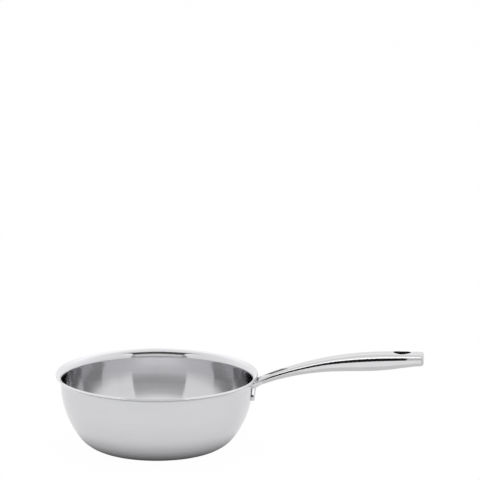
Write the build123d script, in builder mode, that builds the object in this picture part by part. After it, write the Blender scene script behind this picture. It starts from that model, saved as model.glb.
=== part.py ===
# Saucier pan: a clad steel bowl with a pouring lip and a hollow handle welded to its wall.
# Frame: origin at the centre of the base where it rests, +X along the handle, +Z up. Millimetres.
from build123d import *
from math import atan2, cos, degrees, radians, sin, sqrt
import os

os.makedirs("parts", exist_ok=True)

# Bowl, measured on the outside of the sheet
rim_diameter = 250.0  # across the edge of the pouring lip
lip_reach = 6.25  # how far the lip stands out from the wall
base_diameter = 125.0  # flat part that rests on the hob
bowl_height = 93.5  # from the hob to the top of the lip
corner_share = 0.764  # of the step from the base's edge out to the wall, radius of the corner
lip_flare_angle = 74.0  # degrees that the lip turns outward from upright
sheet_thickness = 2.6  # steel, aluminium and steel rolled into one sheet
lip_edge_break = 0.3  # chamfer on both sides of the lip's cut edge

# Handle, whose sections hang square to a line along the middle of its top
handle_length = 204.0  # from the edge of the lip to the closed end, seen from above
handle_rise = 35.5  # the top of the closed end above the top of the neck
neck_drop = 3.3  # the top of the neck below the top of the lip, at the edge of the lip
neck_angle = 23.0  # degrees that the neck climbs
end_angle = 2.0  # degrees that the grip still climbs at its end
neck_reach_share = 0.545  # of the handle's length, how long the neck holds its direction
end_reach_share = 0.17  # the same at the closed end
grip_width = 27.0
grip_depth = 23.4
shell_wall = 1.2  # sheet that the two handle shells are pressed from
end_round = 3.6  # rounding of the closed end

# Places along the shells, and the widths and depths there, as shares of the shells' run and of the grip
station_shares = (0.0, 0.14, 0.32, 0.52, 0.68, 0.80, 0.91, 1.0)
width_shares = (0.65, 0.72, 0.82, 0.93, 0.99, 1.0, 0.98, 0.94)
depth_shares = (0.405, 0.48, 0.642, 0.868, 0.976, 0.924, 0.778, 0.707)
crown_share = 0.1  # of the width, how far the top falls to its sides
belly_share = 0.07  # of the width, how far the underside rises to its sides
floor_share = 0.84  # width of the underside against the width of the top
section_corner_share = 0.42  # of the depth, radius of the section's corners
seam_share = 0.5  # of the depth, how far the seam lies below the top

# Hanging eye, an oval sleeve through both shells
eye_length = 22.0  # opening along the handle
eye_width = 15.0  # opening across the handle
eye_end_share = 0.667  # of half that width, radius of the opening's two ends
eye_wall = 1.0
eye_inset = 26.5  # from the closed end to the middle of the eye

# Bracket: a neck that the shells sit on, and a leg that stands against the wall
collar_length = 4.0  # bare neck between the edge of the lip and the shells
tenon_length = 10.0  # how far the neck reaches into the shells
tenon_clearance = 0.15
leg_width = 12.0
leg_thickness = 4.0
leg_length = 16.1  # below the underside of the neck
leg_corner_radius = 3.5  # round corners of the leg's lower end
foot_height = 5.1  # lower part of the leg that touches the wall
relief_depth = 2.2  # gap between the wall and the leg, from the foot up to the neck
neck_blend = 4.0  # hollow rounding between the leg and the underside of the neck

# Weld nuggets between the bracket and the wall, a row at the neck and a row at the foot
welds_per_row = 3
weld_gap = 0.45  # between two nuggets, and from the outer ones to the edges of the leg
weld_depth = 1.0  # into the bracket

cut_overrun = 5.0

# Sizes that follow
rim_radius = rim_diameter / 2
body_radius = rim_radius - lip_reach
base_radius = base_diameter / 2
corner_radius = corner_share * (body_radius - base_radius)
lip_radius = lip_reach / (1 - cos(radians(lip_flare_angle)))
wall_height = bowl_height - (lip_radius + sheet_thickness) * sin(radians(lip_flare_angle))

# The side arc leaves the corner arc smoothly and stands upright where the lip starts
side_run = body_radius - base_radius - corner_radius
side_climb = wall_height - corner_radius
corner_sweep = 90 - 2 * degrees(atan2(side_run, side_climb))
side_sweep = 90 - corner_sweep
side_radius = corner_radius + side_climb / cos(radians(corner_sweep))

# Ends of the handle's top line
neck_x = rim_radius
neck_z = bowl_height - neck_drop
end_x = neck_x + handle_length
end_z = neck_z + handle_rise
neck_reach = neck_reach_share * handle_length
end_reach = end_reach_share * handle_length


def wall_curve(depth):
    """The bowl's surface at a depth below its outside, from the axis to the top of the upright wall."""
    base = Line((0, depth), (base_radius, depth))
    corner = JernArc(base @ 1, base % 1, corner_radius - depth, corner_sweep)
    return JernArc(corner @ 1, corner % 1, side_radius - depth, side_sweep)


def sheet_curve(depth):
    """The same surface carried on to the cut edge of the lip. Returns its last point."""
    side = wall_curve(depth)
    lip = JernArc(side @ 1, side % 1, lip_radius + depth, -lip_flare_angle)
    return lip @ 1


def wall_radius(height):
    """Radius of the outside of the wall at a height between the corner and the lip."""
    drop = wall_height - height
    return body_radius - side_radius + sqrt(side_radius**2 - drop**2)


def wall_section(depth):
    """Half section of everything inside the wall, up to where the lip starts."""
    with BuildSketch() as section:
        with BuildLine():
            side = wall_curve(depth)
            Polyline(side @ 1, (0, wall_height), (0, depth))
        make_face()
    return section.sketch


# Bowl: one half section between the two faces of the sheet, turned round the axis
with BuildPart() as clad_bowl:
    with BuildSketch(Plane.XZ):
        with BuildLine():
            outer_edge = sheet_curve(0)
            inner_edge = sheet_curve(sheet_thickness)
            Line(outer_edge, inner_edge)
            Line((0, 0), (0, sheet_thickness))
        make_face()
    revolve(axis=Axis.Z)
    level_rings = clad_bowl.edges().filter_by(GeomType.CIRCLE).filter_by(Plane.XY)
    chamfer(level_rings.sort_by(SortBy.RADIUS)[-2:], lip_edge_break)

# Everything inside the bowl's outer face, to trim what is welded to it
with BuildPart() as bowl_outside:
    with BuildSketch(Plane.XZ):
        with BuildLine():
            lip_end = sheet_curve(0)
            Polyline(lip_end, (0, lip_end.Y), (0, 0))
        make_face()
    revolve(axis=Axis.Z)

# Handle's top line, in the plane of symmetry
with BuildLine(Plane.XZ) as top_line:
    Bezier(
        (neck_x, neck_z),
        (neck_x + neck_reach * cos(radians(neck_angle)), neck_z + neck_reach * sin(radians(neck_angle))),
        (end_x - end_reach * cos(radians(end_angle)), end_z - end_reach * sin(radians(end_angle))),
        (end_x, end_z),
    )
spine = top_line.edge()
shell_run = spine.length - collar_length


def station(distance):
    """Plane square to the top line at a distance along it, X to the side and Y up."""
    start = spine.position_at(distance, position_mode=PositionMode.LENGTH)
    along = spine.tangent_at(distance, position_mode=PositionMode.LENGTH)
    return Plane(origin=start, x_dir=(0, 1, 0), z_dir=along)


def handle_section(width_share, depth_share, inset):
    """Section of the handle: crowned top, sides that lean in, full underside, round corners."""
    width = grip_width * width_share - 2 * inset
    depth = grip_depth * depth_share - 2 * inset
    top_side = width / 2
    floor_side = top_side * floor_share
    top_drop = inset + crown_share * width
    floor_drop = inset + depth - belly_share * width
    with BuildSketch() as section:
        with BuildLine():
            top = ThreePointArc((-top_side, -top_drop), (0, -inset), (top_side, -top_drop))
            floor = ThreePointArc((floor_side, -floor_drop), (0, -inset - depth), (-floor_side, -floor_drop))
            Line(top @ 1, floor @ 0)
            Line(floor @ 1, top @ 0)
        make_face()
        fillet(section.vertices(), section_corner_share * grip_depth * depth_share - inset)
    return section.sketch


# Both shells in one piece, closed at the end of the grip, before the seam is cut
with BuildPart() as handle_blank:
    for place, width, depth in zip(station_shares, width_shares, depth_shares):
        with BuildSketch(station(collar_length + place * shell_run)):
            add(handle_section(width, depth, 0))
    loft()
    fillet(handle_blank.faces().sort_by(Axis.X)[-1].edges(), end_round)

# The hollow inside them, open towards the bowl
with BuildPart() as handle_hollow:
    for place, width, depth in zip(station_shares[:-1], width_shares, depth_shares):
        with BuildSketch(station(collar_length + place * shell_run)):
            add(handle_section(width, depth, shell_wall))
    with BuildSketch(station(spine.length - end_round - shell_wall)):
        add(handle_section(width_shares[-1], depth_shares[-1], shell_wall))
    loft()


def oval(margin):
    """The eye's outline, grown by a margin: two tight arcs round its ends and two flatter ones between."""
    half_length = eye_length / 2 + margin
    half_width = eye_width / 2 + margin
    end_radius = eye_end_share * eye_width / 2 + margin
    end_middle = half_length - end_radius
    flat_radius = (end_middle**2 + half_width**2 - end_radius**2) / (2 * (half_width - end_radius))
    meeting_angle = degrees(atan2(flat_radius - half_width, end_middle))
    with BuildSketch() as outline:
        with BuildLine():
            CenterArc((end_middle, 0), end_radius, -meeting_angle, 2 * meeting_angle)
            CenterArc((0, half_width - flat_radius), flat_radius, meeting_angle, 180 - 2 * meeting_angle)
            CenterArc((-end_middle, 0), end_radius, 180 - meeting_angle, 2 * meeting_angle)
            CenterArc((0, flat_radius - half_width), flat_radius, 180 + meeting_angle, 180 - 2 * meeting_angle)
        make_face()
    return outline.sketch


# Hanging eye, square to the top line
eye_station = station(spine.length - eye_inset)
eye_plane = Plane(origin=eye_station.origin, x_dir=eye_station.z_dir, z_dir=eye_station.y_dir)
with BuildPart() as eye_plug:
    with BuildSketch(eye_plane):
        add(oval(eye_wall))
    extrude(amount=grip_depth + cut_overrun, both=True)

with BuildPart() as hang_hole_sleeve:
    add(eye_plug.part)
    with BuildSketch(eye_plane):
        add(oval(0))
    extrude(amount=grip_depth + cut_overrun, both=True, mode=Mode.SUBTRACT)
    add(handle_blank.part, mode=Mode.INTERSECT)

# The seam runs along both sides of the handle, led past both ends
seam_points = []
for distance, depth in [(0, depth_shares[0])] + [
    (collar_length + place * shell_run, depth) for place, depth in zip(station_shares, depth_shares)
]:
    across = station(distance)
    seam_points.append(across.origin - seam_share * grip_depth * depth * across.y_dir)
sky_z = end_z + grip_depth
with BuildPart() as above_seam:
    with BuildSketch(Plane.XZ):
        with BuildLine():
            seam = Spline([(point.X, point.Z) for point in seam_points])
            lead_out = Line(seam @ 1, seam @ 1 + cut_overrun * (seam % 1))
            Polyline(lead_out @ 1, (end_x + cut_overrun, sky_z), (neck_x, sky_z), seam @ 0)
        make_face()
    extrude(amount=grip_width, both=True)

with BuildPart() as handle_top_shell:
    add(handle_blank.part)
    add(handle_hollow.part, mode=Mode.SUBTRACT)
    add(eye_plug.part, mode=Mode.SUBTRACT)
    add(above_seam.part, mode=Mode.INTERSECT)

with BuildPart() as handle_bottom_shell:
    add(handle_blank.part)
    add(handle_hollow.part, mode=Mode.SUBTRACT)
    add(eye_plug.part, mode=Mode.SUBTRACT)
    add(above_seam.part, mode=Mode.SUBTRACT)

# Where the underside of the neck, drawn back along its direction, meets the wall
neck_station = station(collar_length)
neck_depth = grip_depth * depth_shares[0]
neck_underside = neck_station.origin - neck_depth * neck_station.y_dir
neck_slope = neck_station.z_dir.Z / neck_station.z_dir.X
neck_foot_height = neck_underside.Z - neck_slope * (neck_underside.X - body_radius)

# Leg, drawn from the side: down the wall from the neck, with a hollow rounding under the neck
leg_bottom_height = neck_foot_height - leg_length
blend_run = leg_thickness + neck_blend
leg_top_height = neck_foot_height + neck_depth / 2
neck_corner = Vector(body_radius + leg_thickness, neck_foot_height + neck_slope * leg_thickness)
with BuildPart() as leg:
    with BuildSketch(Plane.XZ) as leg_side:
        with BuildLine():
            Polyline(
                (base_radius, leg_bottom_height),
                (wall_radius(leg_bottom_height) + leg_thickness, leg_bottom_height),
                neck_corner,
                (body_radius + blend_run, neck_foot_height + neck_slope * blend_run),
                (body_radius + blend_run, leg_top_height + neck_slope * blend_run),
                (base_radius, leg_top_height),
                close=True,
            )
        make_face()
        fillet(leg_side.vertices().sort_by_distance(neck_corner)[0], neck_blend)
    extrude(amount=leg_width / 2, both=True)
    fillet(leg.edges().filter_by(Axis.X).group_by(Axis.Z)[0], leg_corner_radius)
    add(bowl_outside.part, mode=Mode.SUBTRACT)

# Gap behind the leg
with BuildPart() as relief:
    with BuildSketch(Plane.XZ):
        add(wall_section(-relief_depth))
    revolve(axis=Axis.Z)
    with BuildSketch(Plane.YZ):
        with Locations((0, (leg_bottom_height + foot_height + neck_foot_height) / 2)):
            Rectangle(leg_width + cut_overrun, neck_foot_height - leg_bottom_height - foot_height)
    extrude(amount=rim_radius, mode=Mode.INTERSECT)

# Nuggets, trimmed to the wall on one side and sunk in the bracket on the other
weld_diameter = (leg_width - weld_gap) / welds_per_row - weld_gap
weld_pitch = weld_diameter + weld_gap
weld_nuggets = []
for row_height in ((neck_foot_height + wall_height) / 2, leg_bottom_height + foot_height / 2):
    for column in range(welds_per_row):
        side_step = (column - (welds_per_row - 1) / 2) * weld_pitch
        with BuildPart() as nugget:
            with BuildSketch(Plane.YZ.offset(wall_radius(row_height) + weld_depth)):
                with Locations((side_step, row_height)):
                    Circle(weld_diameter / 2)
            extrude(amount=-(weld_depth + cut_overrun))
            add(bowl_outside.part, mode=Mode.SUBTRACT)
        weld_nuggets.append(nugget)

with BuildPart() as handle_bracket:
    with BuildSketch(neck_station):
        add(handle_section(width_shares[0], depth_shares[0], 0))
    extrude(amount=-(rim_radius - body_radius + collar_length + grip_depth))
    add(bowl_outside.part, mode=Mode.SUBTRACT)
    add(leg.part)
    add(relief.part, mode=Mode.SUBTRACT)
    with BuildSketch(neck_station):
        add(handle_section(width_shares[0], depth_shares[0], shell_wall + tenon_clearance))
    extrude(amount=tenon_length)
    for nugget in weld_nuggets:
        add(nugget.part, mode=Mode.SUBTRACT)

made = {
    "clad_bowl": clad_bowl,
    "handle_bracket": handle_bracket,
    "handle_top_shell": handle_top_shell,
    "handle_bottom_shell": handle_bottom_shell,
    "hang_hole_sleeve": hang_hole_sleeve,
}
for number, nugget in enumerate(weld_nuggets, start=1):
    made[f"weld_nugget_{number}"] = nugget
for name, piece in made.items():
    piece.part.label = name
    export_step(piece.part, f"parts/{name}.step")
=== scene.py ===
# %% [markdown]
# # A saucier pan in brushed and polished steel
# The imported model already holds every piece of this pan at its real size: the bowl, the bracket that
# carries the handle, the two pressed halves of the handle, the sleeve of its hanging eye and the welds.
# Metal has hardly any colour of its own. What a picture of it shows is the room around it, so this
# lesson spends its time on two things: the studio that the steel mirrors, and the marks that brushing
# and polishing leave on it.

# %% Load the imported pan
from math import cos, degrees, radians, sin

import bpy
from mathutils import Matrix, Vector


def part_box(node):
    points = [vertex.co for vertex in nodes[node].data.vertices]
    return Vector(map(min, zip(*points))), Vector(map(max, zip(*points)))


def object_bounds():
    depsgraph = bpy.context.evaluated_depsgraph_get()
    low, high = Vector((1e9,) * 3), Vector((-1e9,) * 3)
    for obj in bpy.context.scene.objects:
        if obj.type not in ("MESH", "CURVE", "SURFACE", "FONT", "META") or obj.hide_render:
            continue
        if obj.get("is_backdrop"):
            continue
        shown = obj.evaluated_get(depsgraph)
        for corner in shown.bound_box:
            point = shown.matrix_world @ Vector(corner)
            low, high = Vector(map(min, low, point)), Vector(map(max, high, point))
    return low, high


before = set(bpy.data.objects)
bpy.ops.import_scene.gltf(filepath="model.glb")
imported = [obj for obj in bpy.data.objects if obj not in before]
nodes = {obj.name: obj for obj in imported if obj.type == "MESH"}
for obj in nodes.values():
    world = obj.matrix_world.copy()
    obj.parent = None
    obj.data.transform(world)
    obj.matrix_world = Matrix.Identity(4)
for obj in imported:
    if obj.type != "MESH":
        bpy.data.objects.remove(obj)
packed_low, packed_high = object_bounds()
packed_size = packed_high - packed_low
print("nodes:", len(nodes), "size in mm:", [round(length * 1000, 1) for length in packed_size])

# %% [markdown]
# ## Sizes to work with
# The steel changes its finish at the lip and at its cut edge. The rim's radius and the bowl's height are
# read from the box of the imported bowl, so that they follow the model. The sheet's thickness and the lip's
# turn can't be read from a box, and they are repeated here in metres and radians.

# %% Sizes of the bowl
bowl_low, bowl_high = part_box("clad_bowl")
rim_radius = (bowl_high.x - bowl_low.x) / 2
bowl_height = bowl_high.z
sheet_thickness = 0.0026
lip_flare = radians(74)
print("rim radius:", round(rim_radius, 4), "height:", round(bowl_height, 4))

# %% [markdown]
# ## Objects of the stage
# The camera, the floor, the lamp and the cards all enter the scene in the same way, so one helper does it.

# %% Add an object


def add_object(name, data):
    """An object of the scene that holds this data."""
    made = bpy.data.objects.new(name, data)
    bpy.context.scene.collection.objects.link(made)
    return made


# %% [markdown]
# ## Camera
# The rim is an ellipse almost four times as wide as it is high, which puts the camera some 15 degrees
# above it. The two sides of the ellipse are equally far from its middle, so the lens is long and stands
# well back. One point of the pan is held to its place in the picture, and the camera is aimed so that
# this point lands there: the camera turns, and needs no shift.

# %% Place the camera
picture_side = 480
lens_mm = 600.0
sensor_mm = 36.0
view_azimuth = radians(4.0)
view_elevation = radians(14.85)
view_distance = 9.87
held_point = Vector((0.1, 0, 0.06))
held_pixel = (237.8, 400.9)

level_part = cos(view_elevation)
toward = Vector((-sin(view_azimuth) * level_part, cos(view_azimuth) * level_part, -sin(view_elevation)))
right = Vector((cos(view_azimuth), sin(view_azimuth), 0))
up = right.cross(toward)
metres_per_pixel = view_distance * sensor_mm / lens_mm / picture_side
aim = held_point
aim = aim + right * (picture_side / 2 - held_pixel[0]) * metres_per_pixel
aim = aim + up * (held_pixel[1] - picture_side / 2) * metres_per_pixel

camera = add_object("camera", bpy.data.cameras.new("camera"))
bpy.context.scene.camera = camera
camera.data.lens = lens_mm
camera.data.sensor_width = sensor_mm
camera.data.clip_end = 100.0
camera.location = held_point - toward * view_distance
camera.rotation_euler = (aim - camera.location).to_track_quat("-Z", "Y").to_euler()
print("camera at", [round(part, 3) for part in camera.location])

# %% [markdown]
# ## Formulas as nodes
# A finish is easier to read as a formula than as a drawing of boxes and wires. This small class holds one
# output of a shader node. Adding, multiplying or comparing two of them adds the Math node that does it,
# and every other kind of node comes from one method.


# %% A node's output that can be used in a formula
class Field:
    """One output socket of a shader node."""

    def __init__(self, tree, socket):
        self.tree = tree
        self.socket = socket

    @classmethod
    def make(cls, tree, kind, settings=None, values=None, output=0):
        """Adds a node: first its settings, then the values or links of its sockets."""
        node = tree.nodes.new(kind)
        for name, setting in (settings or {}).items():
            setattr(node, name, setting)
        for name, value in (values or {}).items():
            if isinstance(value, Field):
                tree.links.new(value.socket, node.inputs[name])
            else:
                node.inputs[name].default_value = value
        return cls(tree, node.outputs[output])

    def math(self, operation, *others):
        """Adds a Math node that works on this field first and then on the others."""
        values = dict(enumerate((self, *others)))
        return Field.make(self.tree, "ShaderNodeMath", {"operation": operation}, values)

    def __add__(self, other):
        return self.math("ADD", other)

    __radd__ = __add__

    def __mul__(self, other):
        return self.math("MULTIPLY", other)

    __rmul__ = __mul__

    def __sub__(self, other):
        return self.math("SUBTRACT", other)

    def __rsub__(self, other):
        return Field.make(self.tree, "ShaderNodeMath", {"operation": "SUBTRACT"}, {0: other, 1: self})

    def __truediv__(self, other):
        return self.math("DIVIDE", other)

    def rise(self, start, end):
        """0 below start, 1 above end, and a smooth step between."""
        values = {"Value": self, "From Min": start, "From Max": end}
        return Field.make(self.tree, "ShaderNodeMapRange", {"interpolation_type": "SMOOTHSTEP"}, values)

    def band(self, start, end, soft):
        """1 between start and end, and 0 outside them."""
        return self.rise(start - soft, start) * (1 - self.rise(end, end + soft))


print("a field stands for one output of a node")

# %% [markdown]
# Some sums come back in every finish: taking a vector apart, going from one number or colour to another
# by a mask, noise, and what is known of a ray of light.

# %% Sums that come back


def split(vector):
    """The three parts of a vector."""
    first = Field.make(vector.tree, "ShaderNodeSeparateXYZ", values={"Vector": vector})
    return [Field(vector.tree, output) for output in first.socket.node.outputs]


def join(x, y, z):
    """A vector from three numbers, of which x is a field."""
    return Field.make(x.tree, "ShaderNodeCombineXYZ", values={"X": x, "Y": y, "Z": z})


def distance_from_axis(x, y):
    """How far a point lies from the upright axis of the bowl."""
    return (x * x + y * y).math("SQRT")


def shift(mask, under, over):
    """The number over where the mask is 1, and the number under where it is 0."""
    return under + mask * (over - under)


def blend(mask, under, over):
    """The colour over where the mask is 1, and the colour under where it is 0."""
    values = {"Factor": mask, "A": under, "B": over}
    return Field.make(mask.tree, "ShaderNodeMix", {"data_type": "RGBA"}, values, output="Result")


def noise(place, scale):
    """Smooth noise between 0 and 1 at a place, in patches of 1 / scale metres."""
    return Field.make(place.tree, "ShaderNodeTexNoise", values={"Vector": place, "Scale": scale})


def ray(tree, fact):
    """What is known of the ray that meets a surface, such as its kind or its length."""
    return Field.make(tree, "ShaderNodeLightPath", output=fact)


def grey(level):
    """A grey of one level, as a colour."""
    return (level, level, level, 1)


print("plain white is", grey(1.0))

# %% [markdown]
# ## Studio
# The steel is lit by what stands round the table. The grey panel in the back of the bowl is the room
# behind the camera, darker low down. The bright walls beside the panel are windows of light. A white
# backdrop stands behind the pan and grows brighter upwards, and a softer light hangs above. All of it
# is painted on the world by direction. Real boards would do as well, but they would stand in the way of
# a camera that looks from another side. Only mirror-like rays see these zones. Rough surfaces get an even
# light, and the camera sees plain white.

# %% Measure a direction
world = bpy.data.worlds.new("studio")
bpy.context.scene.world = world
world.use_nodes = True
world.node_tree.nodes.clear()


def direction_angles(tree):
    """How high and how far round a ray looks, in degrees. Round is 0 towards the camera's side."""
    x, y, z = split(Field.make(tree, "ShaderNodeTexCoord", output="Generated"))
    elevation = z.math("ARCSINE") * degrees(1)
    azimuth = x.math("ARCTAN2", y * -1) * degrees(1)
    return elevation, azimuth


print("the world has", len(world.node_tree.nodes), "nodes to begin with")

# %% [markdown]
# The levels say how bright each part of the studio is. A border and a rise are each a pair of angles in
# degrees, between which one part gives way to the next: a border going round from the camera's side, and a
# rise going upwards.

# %% Paint the studio on the world
even_level = 0.75
low_room_level, room_level = 0.36, 0.49
window_level, side_level, backdrop_level = 0.97, 1.0, 1.08
high_level, overhead_level = 1.36, 1.05

room_left, room_right, room_soft = -32, 35, 1.5
front_border = (40, 60)
side_border = (50, 80)
backdrop_border = (80, 120)
high_backdrop_border = (100, 150)

high_backdrop_rise = (12, 46)
room_rise = (16, 22)
room_top_rise = (30, 40)
high_front_rise = (36, 46)
overhead_rise = (60, 80)


def studio_light(tree):
    """Brightness of the studio in every direction, as polished metal sees it."""
    elevation, azimuth = direction_angles(tree)
    aside = azimuth.math("ABSOLUTE")
    level = shift(aside.rise(*side_border), window_level, side_level)
    level = shift(aside.rise(*backdrop_border), level, backdrop_level)
    high_behind = elevation.rise(*high_backdrop_rise) * aside.rise(*high_backdrop_border)
    level = shift(high_behind, level, high_level)
    high_in_front = elevation.rise(*high_front_rise) * (1 - aside.rise(*front_border))
    level = shift(high_in_front, level, high_level)
    level = shift(elevation.rise(*overhead_rise), level, overhead_level)
    room = azimuth.band(room_left, room_right, room_soft) * (1 - elevation.rise(*room_top_rise))
    room_light = shift(elevation.rise(*room_rise), low_room_level, room_level)
    return shift(room, level, room_light)


def paint_world(tree, light):
    """Camera rays see white, mirror-like rays see the studio, and all others an even light."""
    level = shift(ray(tree, "Is Glossy Ray"), even_level, light)
    level = shift(ray(tree, "Is Camera Ray"), level, 1)
    background = Field.make(tree, "ShaderNodeBackground", values={"Color": grey(1.0), "Strength": level})
    output = tree.nodes.new("ShaderNodeOutputWorld")
    tree.links.new(background.socket, output.inputs["Surface"])


paint_world(world.node_tree, studio_light(world.node_tree))
bpy.context.scene.view_settings.view_transform = "Standard"
print("studio in", len(world.node_tree.nodes), "nodes, room", room_level, "windows", window_level)

# %% [markdown]
# ## Paints of the stage
# The floor and the cards have no gloss. Each is a plain glow of one brightness, clear, or a mix of such
# surfaces, and the kind and length of a ray say which of them it sees.

# %% Mix plain surfaces


def new_paint(name):
    """A material with nothing on it yet, its nodes and the socket that its surface goes to."""
    paint = bpy.data.materials.new(name)
    paint.use_nodes = True
    tree = paint.node_tree
    tree.nodes.clear()
    output = tree.nodes.new("ShaderNodeOutputMaterial")
    return paint, tree, output.inputs["Surface"]


def glow(tree, color):
    """A surface that shines evenly in one colour, whatever lights it."""
    return Field.make(tree, "ShaderNodeEmission", values={"Color": color, "Strength": 1.0})


def mix_surfaces(mask, under, over):
    """The surface over where the mask is 1, and the surface under where it is 0."""
    return Field.make(mask.tree, "ShaderNodeMixShader", values={0: mask, 1: under, 2: over})


def clear_where(mask, seen):
    """The seen surface, but clear where the mask is 1."""
    return mix_surfaces(mask, seen, Field.make(mask.tree, "ShaderNodeBsdfTransparent"))


def from_behind(tree):
    """1 where a ray meets the back of a face, and 0 at its front."""
    return Field.make(tree, "ShaderNodeNewGeometry", output="Backfacing")


print("materials so far:", len(bpy.data.materials))

# %% [markdown]
# ## Floor
# The table is one large white plane. A camera ray sees most of it as plain white and a little of it as a
# lit surface, so that the pan keeps a faint shadow where it rests. The steel mirrors the lit surface,
# mixed with a glow that carries a painted shadow: dark under the base and bright beside it, which keeps
# the dark place in the lower wall narrow. From below the plane is clear, and so it is to the base that
# stands on it, so a camera down there sees the underside as bright steel. The plane lies a hair below the
# base, because two faces in one place flicker.

# %% Lay the floor
floor_reach = 30.0
floor_gap = 0.0001
corner_signs = ((-1, -1), (1, -1), (1, 1), (-1, 1))
floor_corners = [(x * floor_reach, y * floor_reach, -floor_gap) for x, y in corner_signs]
floor_mesh = bpy.data.meshes.new("floor")
floor_mesh.from_pydata(floor_corners, [], [(0, 1, 2, 3)])
floor = add_object("floor", floor_mesh)
floor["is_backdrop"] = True
print("floor at z in mm:", -floor_gap * 1000)

# %% Paint the floor
floor_white = grey(0.92)
plain_white_share = 0.98
# painted shadow: the floor glow that the steel mirrors is this dark under the base, as the pan's shadow
mirrored_painted_shadow = grey(0.05)
mirrored_white = grey(0.95)
mirrored_share = 0.65
painted_shadow_radius = 0.0725
painted_shadow_outer_radius = 0.1245
touching_reach = 0.0006
touching_soft = 1.5


def floor_paint():
    """White to the camera, with a painted shadow under the base for the steel, and clear from below and to
    the base.
    """
    paint, tree, surface = new_paint("white_table")
    x, y, _ = split(Field.make(tree, "ShaderNodeTexCoord", output="Object"))
    beside = distance_from_axis(x, y).rise(painted_shadow_radius, painted_shadow_outer_radius)
    glossy_ray = ray(tree, "Is Glossy Ray")
    long_ray = ray(tree, "Ray Length").rise(touching_reach, touching_reach * touching_soft)
    touching = glossy_ray * (1 - long_ray)

    lit = Field.make(tree, "ShaderNodeBsdfDiffuse", values={"Color": floor_white})
    # painted shadow: the mirrored glow darkens towards the axis, standing in for the shadow under the base
    mirrored_glow = glow(tree, blend(beside, mirrored_painted_shadow, mirrored_white))
    mirrored = mix_surfaces(glossy_ray * mirrored_share, lit, mirrored_glow)
    plain_white = ray(tree, "Is Camera Ray") * plain_white_share
    seen = mix_surfaces(plain_white, mirrored, glow(tree, grey(1.0)))
    tree.links.new(clear_where(touching.math("MAXIMUM", from_behind(tree)), seen).socket, surface)
    return paint


floor_mesh.materials.append(floor_paint())
print("the camera sees the floor as plain white by", plain_white_share)

# %% [markdown]
# ## Lamp
# One large soft lamp hangs over the table. It gives the floor its light and the pan its faint shadow. The
# steel doesn't mirror it, because the painted studio already holds the light above.

# %% Hang the lamp
lamp_height = 2.2
lamp_side = 2.0
lamp_power = 15.0
lamp = add_object("overhead_lamp", bpy.data.lights.new("overhead_lamp", "AREA"))
lamp.data.shape = "SQUARE"
lamp.data.size = lamp_side
lamp.data.energy = lamp_power
lamp.location = (0, 0, lamp_height)
lamp.visible_glossy = False
lamp.visible_camera = False
print("lamp of", lamp_power, "W at", lamp_height, "m")

# %% [markdown]
# ## Cards
# A photographer of steel holds cards close to it. Here a card is seen by mirror-like rays alone, from its
# front alone, and only by rays that start close to it. So it neither shades the pan, nor hides it from
# another side, nor shows up in the rest of the steel.

# %% Make a card
reach_soft = 1.05


def card_paint(name, level, reach):
    """A glow that is clear from its back and to every ray longer than its reach."""
    paint, tree, surface = new_paint(name)
    too_far = ray(tree, "Ray Length").rise(reach, reach * reach_soft)
    hidden = too_far.math("MAXIMUM", from_behind(tree))
    tree.links.new(clear_where(hidden, glow(tree, grey(level))).socket, surface)
    return paint


def hold_card(name, y, corners, level, reach, faces_camera=False):
    """Holds up a card across Y. Corners are pairs of x and z, anticlockwise as the camera sees them."""
    order = list(range(len(corners)))
    if not faces_camera:
        order.reverse()
    mesh = bpy.data.meshes.new(name)
    mesh.from_pydata([(x, y, z) for x, z in corners], [], [order])
    mesh.materials.append(card_paint(name, level, reach))
    card = add_object(name, mesh)
    card.visible_camera = False
    card.visible_diffuse = False
    card.visible_shadow = False
    card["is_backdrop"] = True
    print(name, "at y in mm:", y * 1000, "brightness", level)


print("a card is gone at", reach_soft, "times its reach")

# %% [markdown]
# ## The lines in the handle
# A white board close in front of the handle makes its side bright, and a black strip on that board draws
# the sharp black line along it. The strip's height follows the handle's curve. It stops short of the
# handle's end, where a grey strip takes over, and a brighter strip above both draws the white streak. A
# small dark card behind the neck draws the band at its root. Sizes are in metres.

# %% Hold the cards of the handle
board_corners = [(0.11, 0.085), (0.15, 0.07), (0.34, 0.07), (0.34, 0.2), (0.11, 0.2)]
line_lower_edge = [(0.118, 0.08), (0.2, 0.1095), (0.27, 0.1165), (0.308, 0.1165)]
line_upper_edge = [(0.308, 0.154), (0.27, 0.156), (0.2, 0.15), (0.118, 0.124)]
line_end_corners = [(0.308, 0.1165), (0.335, 0.1165), (0.335, 0.153), (0.308, 0.154)]
streak_lower_edge = [(0.12, 0.122), (0.2, 0.148), (0.27, 0.154), (0.34, 0.152)]
streak_upper_edge = [(0.34, 0.18), (0.27, 0.183), (0.2, 0.176), (0.12, 0.146)]
neck_corners = [(0.127, 0.0925), (0.150, 0.102), (0.150, 0.124), (0.127, 0.117)]
line_corners = line_lower_edge + line_upper_edge
streak_corners = streak_lower_edge + streak_upper_edge
hold_card("white_board", y=-0.055, corners=board_corners, level=1.2, reach=0.12)
hold_card("black_strip", y=-0.05, corners=line_corners, level=0.01, reach=0.07)
hold_card("bright_strip", y=-0.052, corners=streak_corners, level=2.1, reach=0.12)
hold_card("grey_strip", y=-0.05, corners=line_end_corners, level=0.72, reach=0.07)
hold_card("neck_card", y=0.03, corners=neck_corners, level=0.2, reach=0.12, faces_camera=True)

# %% [markdown]
# ## The line in the lip
# The sharp dark line in the back of the lip is as wide as the grey panel below it, so it is the same room
# seen in a tighter bend. Two strips close to that bend, a dark one over a light one, draw it. Their border
# and their top are arched, because the lip curves away to both sides.

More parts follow.
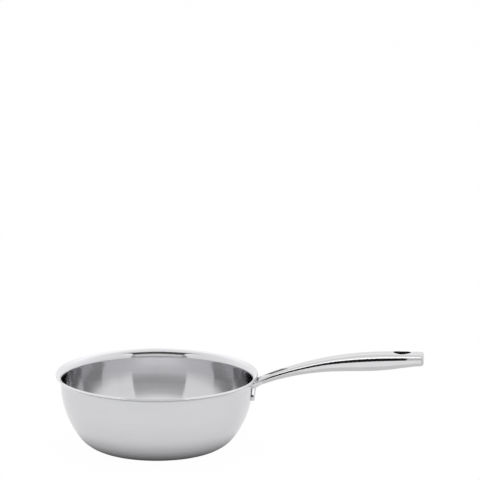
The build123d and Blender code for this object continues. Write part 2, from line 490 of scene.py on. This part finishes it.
# %% Hold the strips of the lip
strip_left, strip_middle, strip_right = -0.0264, -0.0071, 0.0122
strip_taper = 0.002
strip_bottom = [(strip_left, 0.0895), (strip_right, 0.0895)]
strip_border = [(strip_right, 0.102), (strip_middle, 0.107), (strip_left, 0.102)]
strip_top = [(strip_right - strip_taper, 0.142), (strip_middle, 0.156), (strip_left + strip_taper, 0.142)]
dark_corners = strip_border[::-1] + strip_top
light_corners = strip_bottom + strip_border
hold_card("lip_black_strip", y=0.095, corners=dark_corners, level=0.08, reach=0.07)
hold_card("lip_white_strip", y=0.095, corners=light_corners, level=0.8, reach=0.05)

# %% [markdown]
# ## A metal to start from
# Every finish here is a steel with another surface. Steel is metallic all through, so a finish is only a
# colour, a roughness and a fine relief. One helper makes the material, and another feeds its sockets: a
# formula where the surface varies, and a plain number where it doesn't.

# %% Make a metal


def new_metal(name):
    """A material, its metal shader, and the place and facing of a point on it."""
    made = bpy.data.materials.new(name)
    made.use_nodes = True
    tree = made.node_tree
    shader = tree.nodes["Principled BSDF"]
    shader.inputs["Metallic"].default_value = 1.0
    place = Field.make(tree, "ShaderNodeTexCoord", output="Object")
    facing = Field.make(tree, "ShaderNodeNewGeometry", output="Normal")
    return made, shader, place, facing


def feed(shader, sockets):
    """Gives the shader's sockets their numbers, colours and formulas."""
    for name, value in sockets.items():
        if isinstance(value, Field):
            shader.id_data.links.new(value.socket, shader.inputs[name])
        else:
            shader.inputs[name].default_value = value


steel_dark = (0.66, 0.66, 0.677, 1)
steel_light = (0.70, 0.70, 0.717, 1)
print("steel between", steel_dark[:3], "and", steel_light[:3])

# %% [markdown]
# ## Where a point of the bowl lies
# The bowl has four finishes on one sheet: the outside, the inside, the polished lip and the cut edge. They
# could be painted by hand, but a turned sheet is described by two numbers, the distance from its axis and
# the height. Its facing tells the inside from the outside.

# %% Name the zones of the bowl
polish_low, polish_high = 0.0862, 0.0872
edge_reach, edge_soft = 0.0014, 0.0004
cladding_skin, skin_soft = 0.00045, 0.00005
inside_facing = (-0.2, 0.2)
edge_facing = (0.5, 0.8)


def bowl_zones(place, facing):
    """Inside, polished, cut edge and its core as masks, with the direction round the axis."""
    x, y, z = split(place)
    facing_x, facing_y, facing_z = split(facing)
    radius = distance_from_axis(x, y)
    outward = (facing_x * x + facing_y * y) / radius
    inside = (facing_z - outward).rise(*inside_facing)
    polished = z.rise(polish_low, polish_high)
    edge_start = rim_radius - edge_reach
    cut = radius.rise(edge_start, edge_start + edge_soft) * outward.rise(*edge_facing)
    across = (z - (bowl_height - sheet_thickness * sin(lip_flare))) * sin(lip_flare)
    across = across + (radius - rim_radius) * -cos(lip_flare)
    core = cut * across.band(cladding_skin, sheet_thickness - cladding_skin, skin_soft)
    return inside, polished, cut, core, (x / radius, y / radius, radius + z)


core_thickness = sheet_thickness - 2 * cladding_skin
print("skin and core in mm:", round(cladding_skin * 1000, 2), round(core_thickness * 1000, 2))

# %% [markdown]
# ## Brushed steel of the bowl
# The bowl turns against an abrasive belt, so its fine scratches run round the axis. Across them the steel
# mirrors blurred, and along them it mirrors sharply: a panel in it has sharp upright sides and a soft top.
# The Anisotropic socket does this, and a quarter turn of its rotation lays the blur upright. Scratches
# are noise that is stretched a long way round the axis and finely divided along the wall. The same noise
# gives a relief of a hundredth of a millimetre. The inside is finer near the lip than low down, where
# spoons have rubbed. On the cut edge the aluminium core shows between two skins of steel.

# %% Steel for the bowl
inner_dark = (0.62, 0.62, 0.634, 1)
inner_light = (0.665, 0.665, 0.68, 1)
aluminium = (0.82, 0.82, 0.825, 1)
outer_roughness = 0.14
upper_inner_roughness = 0.075
lower_inner_roughness = 0.13
polished_roughness = 0.1
cut_roughness = 0.3
rubbed_height = (0.055, 0.078)
scratches_round, scratches_along, scratch_change = 6, 7000, 0.05
streaks_round, streaks_along, streak_change = 2, 220, 0.03
noise_middle = 0.5
relief_strength = 0.3
scratch_depth = 0.00001
quarter_turn = 0.25


def bowl_steel():
    """The finish of the whole bowl, from its zones."""
    made, shader, place, facing = new_metal("brushed_bowl_steel")
    inside, polished, cut, core, (round_x, round_y, along) = bowl_zones(place, facing)
    _, _, z = split(place)
    fine_place = join(round_x * scratches_round, round_y * scratches_round, along * scratches_along)
    fine = noise(fine_place, 1.0)
    broad_place = join(round_x * streaks_round, round_y * streaks_round, along * streaks_along)
    broad = noise(broad_place, 1.0)

    inner_roughness = shift(z.rise(*rubbed_height), lower_inner_roughness, upper_inner_roughness)
    roughness = shift(inside, outer_roughness, inner_roughness)
    roughness = shift(polished, roughness, polished_roughness)
    roughness = roughness + (fine - noise_middle) * scratch_change + (broad - noise_middle) * streak_change
    roughness = shift(cut, roughness, cut_roughness)

    brushed = blend(broad, steel_dark, steel_light)
    color = blend(inside * (1 - polished), brushed, blend(broad, inner_dark, inner_light))
    color = blend(core, color, aluminium)
    relief = {"Strength": relief_strength, "Distance": scratch_depth, "Height": fine}
    bump = Field.make(made.node_tree, "ShaderNodeBump", values=relief)
    feed(shader, {"Base Color": color, "Roughness": roughness, "Normal": bump})
    feed(shader, {"Anisotropic": 1.0, "Anisotropic Rotation": quarter_turn})
    return made


finishes = {"clad_bowl": bowl_steel()}
print("finish of the bowl:", finishes["clad_bowl"].name)

# %% [markdown]
# ## Polished steel of the handle
# Both halves of the handle are buffed to a mirror after they are joined, so they share one finish. Buffing
# leaves a faint haze that varies over a centimetre or two, in the colour and in the roughness. A rough
# handle would be easier to light, but it would blur the thin lines that tell how polished it is.

# %% Steel for the handle
buffed_dark = (0.555, 0.555, 0.564, 1)
buffed_light = (0.595, 0.595, 0.604, 1)
buffed_roughness = 0.07
haze_scale = 60.0
haze_roughness = 0.03


def handle_steel():
    """The finish of both halves of the handle."""
    made, shader, place, _ = new_metal("polished_handle_steel")
    haze = noise(place, haze_scale)
    roughness = buffed_roughness + haze * haze_roughness
    feed(shader, {"Base Color": blend(haze, buffed_dark, buffed_light), "Roughness": roughness})
    return made


finishes["handle_top_shell"] = handle_steel()
finishes["handle_bottom_shell"] = finishes["handle_top_shell"]
print("roughness of the handle from", buffed_roughness, "to", buffed_roughness + haze_roughness)

# %% [markdown]
# ## Sleeve of the hanging eye
# No belt reaches the inside of the eye, so the sleeve's wall stays as dull as it left the press, and only
# its two rims are ground flush with the handle. The wall is painted near black, as painted shade deep in
# the hole. The rims face up and down and the wall faces sideways, which is all that the finish needs to
# know.

# %% Steel for the sleeve
# painted shade: near black, for the hole's wall and the bracket's hidden sides, where shade falls
painted_shade_dark = (0.06, 0.06, 0.063, 1)
pressed_roughness = 0.45
ground_roughness = 0.1
rim_facing = (0.5, 0.8)


def sleeve_steel():
    """The finish of the sleeve: ground rims and a dull wall painted dark as shade."""
    made, shader, _, facing = new_metal("unpolished_sleeve_steel")
    _, _, facing_z = split(facing)
    rim = facing_z.math("ABSOLUTE").rise(*rim_facing)
    roughness = shift(rim, pressed_roughness, ground_roughness)
    # painted shade: the sleeve's wall is coloured near black as the shade inside the hole
    feed(shader, {"Base Color": blend(rim, painted_shade_dark, steel_light), "Roughness": roughness})
    return made


finishes["hang_hole_sleeve"] = sleeve_steel()
print("finish of the sleeve:", finishes["hang_hole_sleeve"].name)

# %% [markdown]
# ## Bracket
# The bracket is blasted before it is welded, so it is a little duller than the handle, with a close grain
# of a few millimetres. The side that it turns to the wall and the corner above its foot are painted dark,
# as painted shade, and left rough. The wall mirrors that painted shade, which draws the thin dark line
# beside the leg.

# %% Steel for the bracket
bracket_low, bracket_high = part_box("handle_bracket")
foot_height, foot_soft = 0.008, 0.001
wall_facing = (-0.6, -0.2)
upward_facing = (0.2, 0.5)
satin_roughness = 0.16
grain_scale = 250.0
grain_roughness = 0.08


def bracket_steel():
    """The finish of the bracket: satin where it was blasted, and painted dark as shade on its side to the
    wall and above its foot.
    """
    made, shader, place, facing = new_metal("satin_bracket_steel")
    _, _, z = split(place)
    facing_x, _, facing_z = split(facing)
    to_wall = 1 - facing_x.rise(*wall_facing)
    foot_top = bracket_low.z + foot_height
    above_foot = facing_z.rise(*upward_facing) * (1 - z.rise(foot_top, foot_top + foot_soft))
    # painted shade: the side to the wall and the corner above the foot are coloured dark as shade, and the
    # wall mirrors it
    painted_shade_zone = to_wall.math("MAXIMUM", above_foot)
    grain = noise(place, grain_scale)
    color = blend(painted_shade_zone, blend(grain, steel_dark, steel_light), painted_shade_dark)
    roughness = shift(painted_shade_zone, satin_roughness + grain * grain_roughness, pressed_roughness)
    feed(shader, {"Base Color": color, "Roughness": roughness})
    return made


finishes["handle_bracket"] = bracket_steel()
print("the bracket stands from", round(bracket_low.z, 4), "to", round(bracket_high.z, 4), "m")

# %% [markdown]
# ## Welds
# A weld is steel that has melted and set again. It is darker and rougher than the sheet around it, and
# uneven within a millimetre.

# %% Steel for the welds
weld_dark = (0.42, 0.42, 0.43, 1)
weld_light = (0.55, 0.55, 0.56, 1)
weld_roughness = 0.35
weld_grain_scale = 1200.0
weld_grain_roughness = 0.2


def weld_steel():
    """The finish of every weld."""
    made, shader, place, _ = new_metal("raw_weld_steel")
    grain = noise(place, weld_grain_scale)
    roughness = weld_roughness + grain * weld_grain_roughness
    feed(shader, {"Base Color": blend(grain, weld_dark, weld_light), "Roughness": roughness})
    return made


raw_steel = weld_steel()
print("welds:", [name for name in nodes if name not in finishes])

# %% [markdown]
# ## Dress the pan
# The shapes stay as they are packed. Each node only swaps its plain material for its finish.

# %% Give every node its finish
for name, node in nodes.items():
    node.data.materials.clear()
    node.data.materials.append(finishes.get(name, raw_steel))
    print(name, "-", node.data.materials[0].name)

# %% [markdown]
# ## Sizes at the end
# A finish must not change the size of the pan, so its box is written down as it was packed and as it is
# dressed.

# %% Write the sizes and finish
dressed_low, dressed_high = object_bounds()
growth = (dressed_high - dressed_low) - packed_size
print("the box grew by in mm:", [round(grown * 1000, 3) for grown in growth])
